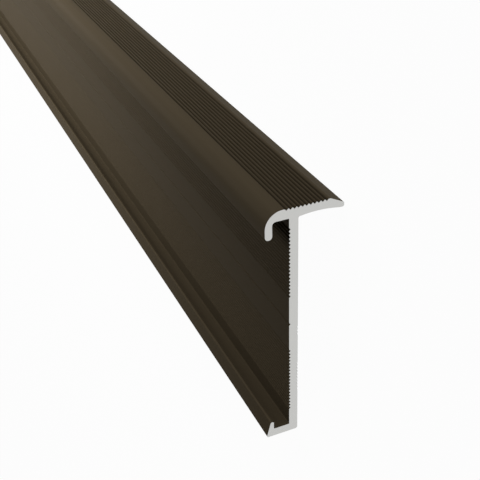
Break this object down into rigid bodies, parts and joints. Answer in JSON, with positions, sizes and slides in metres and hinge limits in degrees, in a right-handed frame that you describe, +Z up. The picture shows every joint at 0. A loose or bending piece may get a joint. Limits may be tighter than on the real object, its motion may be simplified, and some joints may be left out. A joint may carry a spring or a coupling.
{
  "type": "stair nose",
  "caption": "Extruded aluminium stair nose: grooved tread flange, front hook and lipped foot that hold a riser panel, keyed web; dark bronze anodised, sawn ends.",
  "frame": {"origin": "centre of the bounding box, on the floor that it lies on", "axes": "+X along the profile; it lies on its back, so +Z is up out of the panel channel, +Y is towards the tread flange and -Y towards the foot"},
  "size_m": [0.9, 0.0668, 0.0191],
  "materials": {
    "bronze_anodised": "satin dark bronze anodised, bare metal on the sawn ends"
  },
  "bodies": {
    "root": {"stair_nose": "bronze_anodised"}
  },
  "joints": []
}
